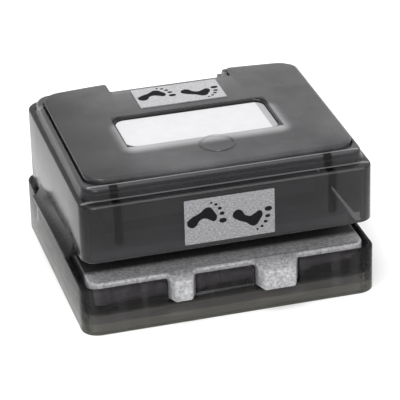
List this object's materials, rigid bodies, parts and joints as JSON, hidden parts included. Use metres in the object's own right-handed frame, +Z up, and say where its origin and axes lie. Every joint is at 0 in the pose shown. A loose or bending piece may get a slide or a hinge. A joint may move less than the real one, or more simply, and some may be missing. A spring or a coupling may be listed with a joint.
{
  "type": "craft paper punch",
  "caption": "Hinged lever paper punch with a smoke plastic cap over a die-cast cutting set that cuts a pair of small footprints.",
  "frame": {"origin": "centre of the whole punch's footprint, on the plane that the tray rests on", "axes": "+X to the right along the hinge pin, +Y from the paper slot to the hinge, +Z up"},
  "size_m": [0.0916, 0.0804, 0.0471],
  "materials": {
    "smoke_plastic": "smoke tinted translucent polystyrene, moulded gloss",
    "smoke_plate": "smoke tinted translucent polystyrene, satin top",
    "cast_zinc": "raw die casting, grainy",
    "ground_steel": "ground",
    "dark_steel": "blackened",
    "spring_steel": "drawn wire",
    "white_card": "matt white card",
    "silver_label": "silver sparkle foil with dark printed footprints"
  },
  "bodies": {
    "base": {"base_tray": "smoke_plastic", "die_body": "cast_zinc", "die_plate": "ground_steel", "slot_spacer_left": "dark_steel", "slot_spacer_right": "dark_steel", "guide_frame": "cast_zinc", "guide_post_left": "ground_steel", "guide_post_right": "ground_steel", "post_clips": "dark_steel", "spring_washers": "ground_steel", "return_spring_left": "spring_steel", "return_spring_right": "spring_steel", "die_screws": "dark_steel", "guide_screws": "dark_steel"},
    "cap": {"press_cap": "smoke_plastic", "top_plate": "smoke_plate", "window_insert": "white_card", "top_motif_label": "silver_label", "front_motif_label": "silver_label", "press_plate": "dark_steel", "press_plate_screws": "ground_steel", "hinge_pin": "ground_steel"},
    "ram": {"punch_ram": "cast_zinc", "punch_retainer": "ground_steel", "foot_punch_left": "ground_steel", "foot_punch_right": "ground_steel", "ram_screws": "dark_steel"}
  },
  "joints": [
    {"name": "cap_hinge", "type": "hinge", "parent": "base", "child": "cap", "pos_m": [0, 0.0331, 0.027], "axis": [1, 0, 0], "range_deg": [0, 4.4]},
    {"name": "ram_slide", "type": "slide", "parent": "base", "child": "ram", "axis": [0, 0, -1], "range_m": [0, 0.00308], "stiffness_N_per_m": 300, "springref_m": -0.002, "deforming": ["return_spring_left", "return_spring_right"]}
  ],
  "couplings": [
    {"joint": "ram_slide", "follows": "cap_hinge", "m_per_rad": 0.04}
  ]
}
